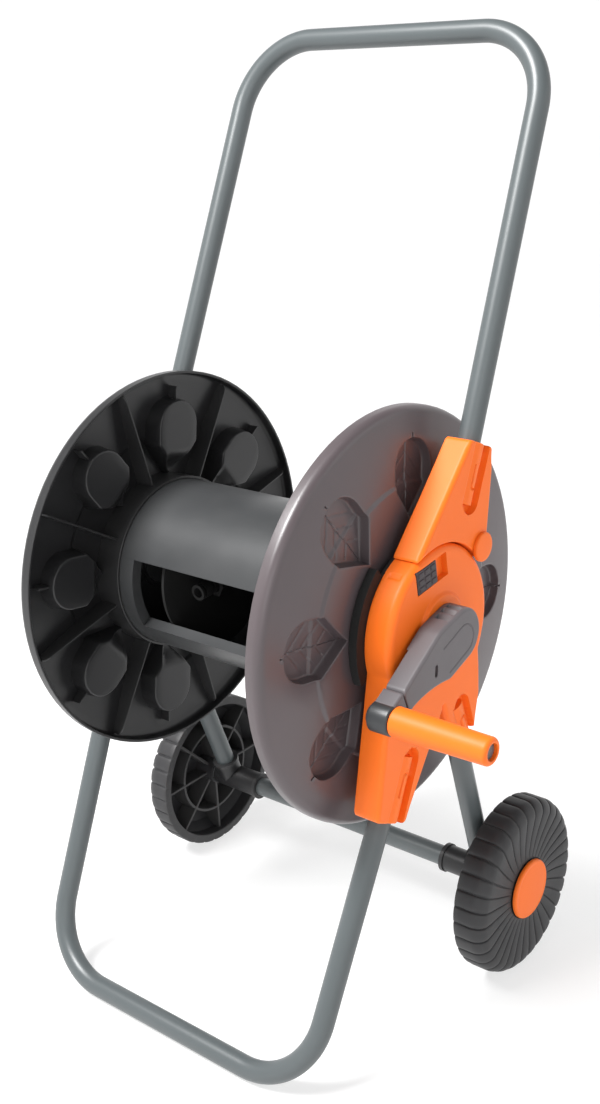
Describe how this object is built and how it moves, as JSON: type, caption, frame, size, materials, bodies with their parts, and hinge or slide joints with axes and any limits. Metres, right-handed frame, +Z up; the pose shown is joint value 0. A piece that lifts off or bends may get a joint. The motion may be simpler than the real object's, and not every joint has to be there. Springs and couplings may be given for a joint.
{
  "type": "hose reel cart",
  "caption": "Wheeled garden hose reel: crank-driven drum with ribbed leaf-pocket discs between side mouldings, fold-down tube handle, tube foot and wheeled axle.",
  "frame": {"origin": "centre of the bounding box, on the ground that the wheels and the foot's bar stand on", "axes": "+Z up, +X towards the crank side along the drum axis, +Y from the foot towards the wheels and the handle's lean"},
  "size_m": [0.5348, 0.4276, 0.89],
  "materials": {
    "tube_paint": "semi-gloss grey-green powder coat on steel tube",
    "steel": "bright zinc plate",
    "black_plastic": "fine-grained polypropylene",
    "wheel_plastic": "satin moulded plastic tread",
    "orange_plastic": "semi-matte orange polypropylene",
    "bearing_nylon": "natural nylon",
    "drum_plastic": "satin moulded polypropylene",
    "plum_plastic": "satin plum-grey polypropylene",
    "seal_rubber": "black nitrile rubber"
  },
  "bodies": {
    "frame": {"foot_tube": "tube_paint", "leg_right": "tube_paint", "leg_left": "tube_paint", "axle_tube": "tube_paint", "axle_rod": "steel", "corner_right": "black_plastic", "corner_left": "black_plastic", "washer_right": "steel", "washer_left": "steel", "push_nut_right": "steel", "push_nut_left": "steel", "casing_right": "orange_plastic", "casing_left": "orange_plastic", "shell_right": "black_plastic", "shell_left": "black_plastic", "bush_right": "bearing_nylon", "bush_left": "bearing_nylon", "pivot_pin_right": "orange_plastic", "pivot_pin_left": "orange_plastic", "inlet_collar": "black_plastic"},
    "drum": {"drum_barrel": "drum_plastic", "drum_bulkhead": "drum_plastic", "disc_right": "drum_plastic", "disc_left": "drum_plastic", "spindle_right": "drum_plastic", "spindle_left": "drum_plastic", "water_pipe": "black_plastic", "hose_outlet": "black_plastic", "crank_arm": "plum_plastic", "crank_knuckle": "black_plastic", "grip_pin": "steel"},
    "grip": {"grip": "orange_plastic", "grip_plug": "plum_plastic"},
    "handle": {"handle_tube": "tube_paint", "bracket_right": "orange_plastic", "bracket_left": "orange_plastic"},
    "wheel_right": {"wheel_right": "wheel_plastic", "cap_right": "orange_plastic"},
    "wheel_left": {"wheel_left": "wheel_plastic", "cap_left": "orange_plastic"},
    "latch": {"latch_slider": "plum_plastic"},
    "inlet": {"inlet_elbow": "black_plastic", "inlet_ring_inner": "seal_rubber", "inlet_ring_outer": "seal_rubber"}
  },
  "joints": [
    {"name": "drum_spin", "type": "hinge", "parent": "frame", "child": "drum", "pos_m": [-0.0399, -0.01388, 0.3958], "axis": [1, 0, 0], "continuous": true},
    {"name": "grip_spin", "type": "hinge", "parent": "drum", "child": "grip", "pos_m": [0.2211, -0.11763, 0.35865], "axis": [1, 0, 0], "continuous": true},
    {"name": "handle_fold", "type": "hinge", "parent": "frame", "child": "handle", "pos_m": [-0.0399, 0.05211, 0.45157], "axis": [-1, 0, 0], "range_deg": [0, 125]},
    {"name": "wheel_right_spin", "type": "hinge", "parent": "frame", "child": "wheel_right", "pos_m": [0.1671, 0.08475, 0.0886], "axis": [1, 0, 0], "continuous": true},
    {"name": "wheel_left_spin", "type": "hinge", "parent": "frame", "child": "wheel_left", "pos_m": [-0.2469, 0.08475, 0.0886], "axis": [1, 0, 0], "continuous": true},
    {"name": "latch_slide", "type": "slide", "parent": "frame", "child": "latch", "axis": [0, 0.9925, 0.1219], "range_m": [0, 0.015]},
    {"name": "inlet_swivel", "type": "hinge", "parent": "frame", "child": "inlet", "pos_m": [-0.2349, -0.01388, 0.3958], "axis": [-1, 0, 0], "continuous": true}
  ]
}
